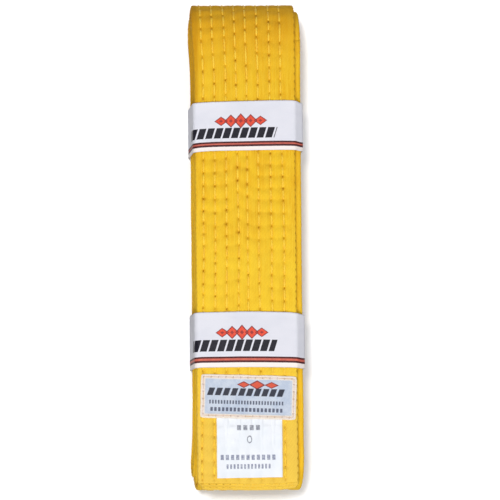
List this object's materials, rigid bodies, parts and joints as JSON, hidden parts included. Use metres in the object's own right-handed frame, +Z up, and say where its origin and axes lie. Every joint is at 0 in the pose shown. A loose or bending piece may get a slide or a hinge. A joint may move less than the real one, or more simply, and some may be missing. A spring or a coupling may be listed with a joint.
{
  "type": "martial arts belt",
  "caption": "Quilted cotton martial arts belt wound into a flat bundle, held by paper bands, with a sewn patch and a size tab on the free end.",
  "frame": {"origin": "bottom centre of the whole bundle's box, on the surface that the bands rest on", "axes": "+X across the belt, to the right as the patch is read; +Y along the bundle, from the free end to the upper fold; +Z up, the way the patch faces"},
  "size_m": [0.0418, 0.1794, 0.029],
  "materials": {
    "belt_cotton": "matte yellow cotton twill",
    "core_cotton": "unbleached cotton padding",
    "belt_thread": "twisted yellow sewing thread",
    "patch_weave": "fine woven pale blue field with a cream border",
    "patch_thread": "pale pink sewing thread",
    "tab_satin": "white satin ribbon with grey print",
    "band_paper": "white coated paper with a printed stripe",
    "band_glue": "dried paper glue"
  },
  "bodies": {
    "wound_belt": {"belt_cover_wound": "belt_cotton", "belt_core_wound": "core_cotton", "needle_thread_wound_1": "belt_thread", "needle_thread_wound_2": "belt_thread", "needle_thread_wound_3": "belt_thread", "needle_thread_wound_4": "belt_thread", "needle_thread_wound_5": "belt_thread", "needle_thread_wound_6": "belt_thread", "needle_thread_wound_7": "belt_thread", "needle_thread_wound_8": "belt_thread", "bobbin_thread_wound_1": "belt_thread", "bobbin_thread_wound_2": "belt_thread", "bobbin_thread_wound_3": "belt_thread", "bobbin_thread_wound_4": "belt_thread", "bobbin_thread_wound_5": "belt_thread", "bobbin_thread_wound_6": "belt_thread", "bobbin_thread_wound_7": "belt_thread", "bobbin_thread_wound_8": "belt_thread", "inner_end_seam_thread": "belt_thread"},
    "belt_end": {"belt_cover_end": "belt_cotton", "belt_core_end": "core_cotton", "needle_thread_end_1": "belt_thread", "needle_thread_end_2": "belt_thread", "needle_thread_end_3": "belt_thread", "needle_thread_end_4": "belt_thread", "needle_thread_end_5": "belt_thread", "needle_thread_end_6": "belt_thread", "needle_thread_end_7": "belt_thread", "needle_thread_end_8": "belt_thread", "bobbin_thread_end_1": "belt_thread", "bobbin_thread_end_2": "belt_thread", "bobbin_thread_end_3": "belt_thread", "bobbin_thread_end_4": "belt_thread", "bobbin_thread_end_5": "belt_thread", "bobbin_thread_end_6": "belt_thread", "bobbin_thread_end_7": "belt_thread", "bobbin_thread_end_8": "belt_thread", "end_seam_thread_outer": "belt_thread", "end_seam_thread_inner": "belt_thread", "woven_patch": "patch_weave", "patch_stitching": "patch_thread"},
    "size_tab": {"size_tab": "tab_satin"},
    "upper_band": {"upper_band_paper": "band_paper", "upper_band_glue": "band_glue"},
    "lower_band": {"lower_band_paper": "band_paper", "lower_band_glue": "band_glue"}
  },
  "joints": [
    {"name": "upper_band_slide", "type": "slide", "parent": "wound_belt", "child": "upper_band", "axis": [0, 1, 0], "range_m": [-0.025, 0.056]},
    {"name": "lower_band_slide", "type": "slide", "parent": "wound_belt", "child": "lower_band", "axis": [0, 1, 0], "range_m": [-0.067, 0.025]},
    {"name": "belt_end_lift", "type": "hinge", "parent": "wound_belt", "child": "belt_end", "pos_m": [0, -0.0452, 0.02763], "axis": [-1, 0, 0], "range_deg": [0, 90]},
    {"name": "size_tab_flip", "type": "hinge", "parent": "belt_end", "child": "size_tab", "pos_m": [0, -0.0639, 0.0283], "axis": [-1, 0, 0], "range_deg": [0, 130]}
  ]
}
